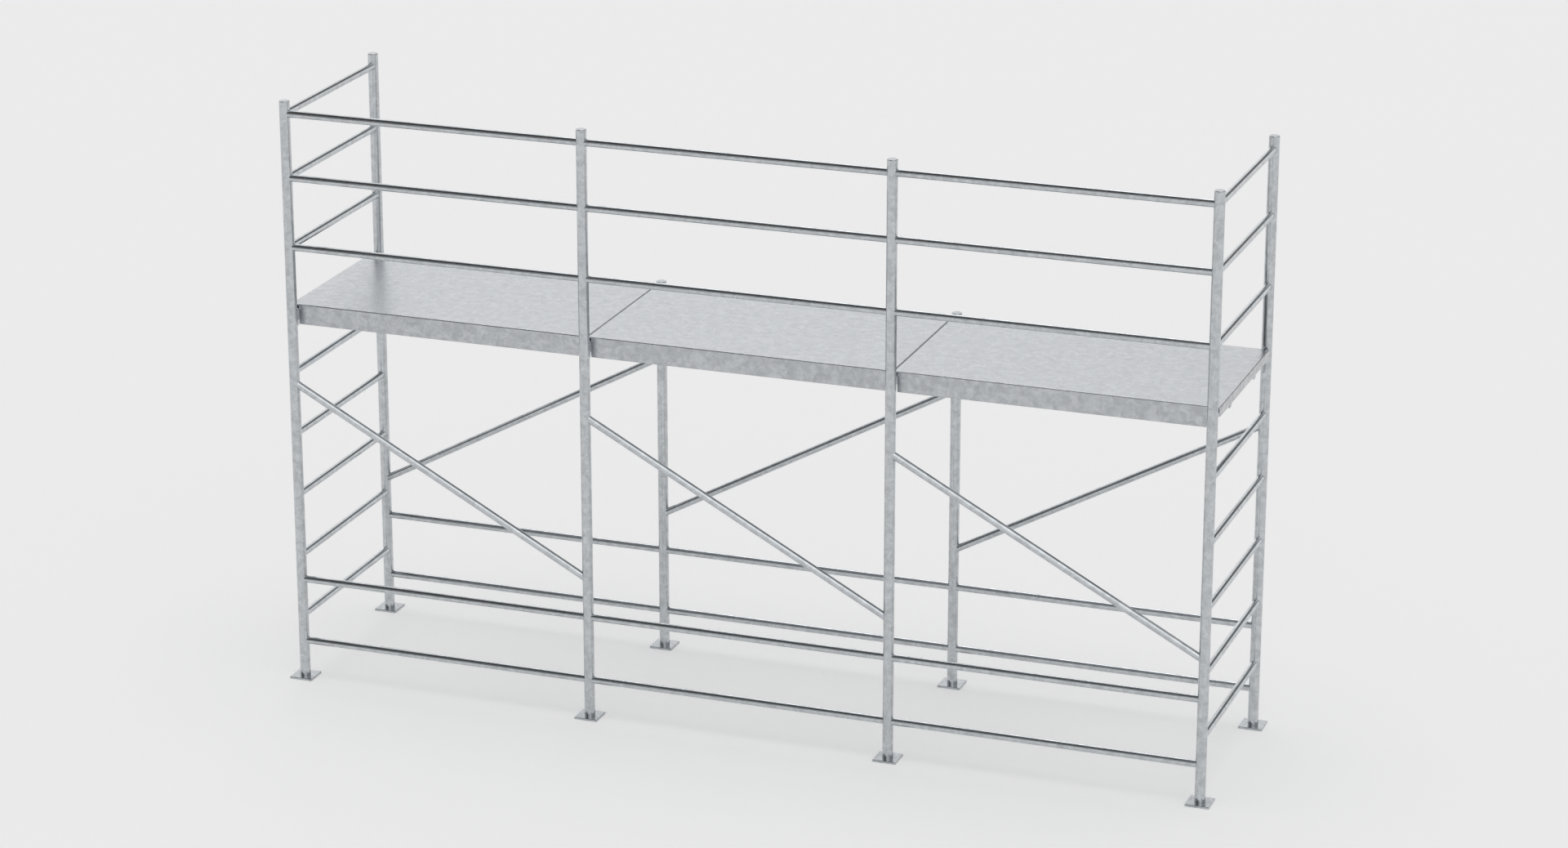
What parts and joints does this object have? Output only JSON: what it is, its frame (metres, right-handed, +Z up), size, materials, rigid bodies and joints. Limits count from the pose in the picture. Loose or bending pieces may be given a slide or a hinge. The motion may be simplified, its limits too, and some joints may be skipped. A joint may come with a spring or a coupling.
{
  "type": "frame scaffold section",
  "caption": "Steel frame scaffold section with lift-off walkway decks, ladder-rung end frames, guard rails, diagonal braces and swivelling base plates.",
  "frame": {"origin": "middle of the footprint, on the floor under the base plates", "axes": "+X along the row of bays, +Y from the guard-rail side to the open back side, +Z up"},
  "size_m": [4.46, 1.05, 2.797],
  "materials": {
    "galvanised_steel": "hot-dip galvanised, dull",
    "deck_steel": "hot-dip galvanised sheet, semi-gloss",
    "foot_steel": "hot-dip galvanised, dull",
    "pin_steel": "bright zinc plated",
    "cap_steel": "pressed steel cap, zinc coated"
  },
  "bodies": {
    "frame": {"front_post_1": "galvanised_steel", "front_post_2": "galvanised_steel", "front_post_3": "galvanised_steel", "front_post_4": "galvanised_steel", "back_post_1": "galvanised_steel", "back_post_2": "galvanised_steel", "back_post_3": "galvanised_steel", "back_post_4": "galvanised_steel", "post_caps": "cap_steel", "left_end_rungs": "galvanised_steel", "right_end_rungs": "galvanised_steel", "deck_transom_1": "galvanised_steel", "deck_transom_2": "galvanised_steel", "deck_transom_3": "galvanised_steel", "deck_transom_4": "galvanised_steel", "transom_gussets": "galvanised_steel", "lower_guard_rails": "galvanised_steel", "middle_guard_rails": "galvanised_steel", "top_guard_rails": "galvanised_steel", "front_lower_ledgers": "galvanised_steel", "front_upper_ledgers": "galvanised_steel", "back_lower_ledgers": "galvanised_steel", "back_upper_ledgers": "galvanised_steel", "front_brace_1": "galvanised_steel", "front_brace_2": "galvanised_steel", "front_brace_3": "galvanised_steel", "back_brace_1": "galvanised_steel", "back_brace_2": "galvanised_steel", "back_brace_3": "galvanised_steel", "rail_spigots": "galvanised_steel", "ledger_spigots": "galvanised_steel", "brace_spigots": "galvanised_steel", "locking_pins": "pin_steel"},
    "front_foot_1": {"base_plate_front_1": "foot_steel"},
    "front_foot_2": {"base_plate_front_2": "foot_steel"},
    "front_foot_3": {"base_plate_front_3": "foot_steel"},
    "front_foot_4": {"base_plate_front_4": "foot_steel"},
    "back_foot_1": {"base_plate_back_1": "foot_steel"},
    "back_foot_2": {"base_plate_back_2": "foot_steel"},
    "back_foot_3": {"base_plate_back_3": "foot_steel"},
    "back_foot_4": {"base_plate_back_4": "foot_steel"},
    "deck_1": {"deck_1_sheet": "deck_steel", "deck_1_side_beams": "deck_steel", "deck_1_cross_members": "deck_steel", "deck_1_claws": "deck_steel"},
    "deck_2": {"deck_2_sheet": "deck_steel", "deck_2_side_beams": "deck_steel", "deck_2_cross_members": "deck_steel", "deck_2_claws": "deck_steel"},
    "deck_3": {"deck_3_sheet": "deck_steel", "deck_3_side_beams": "deck_steel", "deck_3_cross_members": "deck_steel", "deck_3_claws": "deck_steel"},
    "wind_lock_1_left": {"wind_lock_1_left": "pin_steel"},
    "wind_lock_1_right": {"wind_lock_1_right": "pin_steel"},
    "wind_lock_2_left": {"wind_lock_2_left": "pin_steel"},
    "wind_lock_2_right": {"wind_lock_2_right": "pin_steel"},
    "wind_lock_3_left": {"wind_lock_3_left": "pin_steel"},
    "wind_lock_3_right": {"wind_lock_3_right": "pin_steel"}
  },
  "joints": [
    {"name": "front_foot_1_swivel", "type": "hinge", "parent": "frame", "child": "front_foot_1", "pos_m": [-2.175, -0.47, 0.01], "axis": [0, 0, 1], "continuous": true},
    {"name": "front_foot_2_swivel", "type": "hinge", "parent": "frame", "child": "front_foot_2", "pos_m": [-0.725, -0.47, 0.01], "axis": [0, 0, 1], "continuous": true},
    {"name": "front_foot_3_swivel", "type": "hinge", "parent": "frame", "child": "front_foot_3", "pos_m": [0.725, -0.47, 0.01], "axis": [0, 0, 1], "continuous": true},
    {"name": "front_foot_4_swivel", "type": "hinge", "parent": "frame", "child": "front_foot_4", "pos_m": [2.175, -0.47, 0.01], "axis": [0, 0, 1], "continuous": true},
    {"name": "back_foot_1_swivel", "type": "hinge", "parent": "frame", "child": "back_foot_1", "pos_m": [-2.175, 0.47, 0.01], "axis": [0, 0, 1], "continuous": true},
    {"name": "back_foot_2_swivel", "type": "hinge", "parent": "frame", "child": "back_foot_2", "pos_m": [-0.725, 0.47, 0.01], "axis": [0, 0, 1], "continuous": true},
    {"name": "back_foot_3_swivel", "type": "hinge", "parent": "frame", "child": "back_foot_3", "pos_m": [0.725, 0.47, 0.01], "axis": [0, 0, 1], "continuous": true},
    {"name": "back_foot_4_swivel", "type": "hinge", "parent": "frame", "child": "back_foot_4", "pos_m": [2.175, 0.47, 0.01], "axis": [0, 0, 1], "continuous": true},
    {"name": "deck_1_lift_off", "type": "slide", "parent": "frame", "child": "deck_1", "axis": [0, 0, 1], "range_m": [0, 0.25]},
    {"name": "deck_2_lift_off", "type": "slide", "parent": "frame", "child": "deck_2", "axis": [0, 0, 1], "range_m": [0, 0.25]},
    {"name": "deck_3_lift_off", "type": "slide", "parent": "frame", "child": "deck_3", "axis": [0, 0, 1], "range_m": [0, 0.25]},
    {"name": "wind_lock_1_left_turn", "type": "hinge", "parent": "deck_1", "child": "wind_lock_1_left", "pos_m": [-2.131, 0.035, 1.779], "axis": [0, 0, -1], "range_deg": [0, 90]},
    {"name": "wind_lock_1_right_turn", "type": "hinge", "parent": "deck_1", "child": "wind_lock_1_right", "pos_m": [-0.769, -0.035, 1.779], "axis": [0, 0, -1], "range_deg": [0, 90]},
    {"name": "wind_lock_2_left_turn", "type": "hinge", "parent": "deck_2", "child": "wind_lock_2_left", "pos_m": [-0.681, 0.035, 1.779], "axis": [0, 0, -1], "range_deg": [0, 90]},
    {"name": "wind_lock_2_right_turn", "type": "hinge", "parent": "deck_2", "child": "wind_lock_2_right", "pos_m": [0.681, -0.035, 1.779], "axis": [0, 0, -1], "range_deg": [0, 90]},
    {"name": "wind_lock_3_left_turn", "type": "hinge", "parent": "deck_3", "child": "wind_lock_3_left", "pos_m": [0.769, 0.035, 1.779], "axis": [0, 0, -1], "range_deg": [0, 90]},
    {"name": "wind_lock_3_right_turn", "type": "hinge", "parent": "deck_3", "child": "wind_lock_3_right", "pos_m": [2.131, -0.035, 1.779], "axis": [0, 0, -1], "range_deg": [0, 90]}
  ]
}
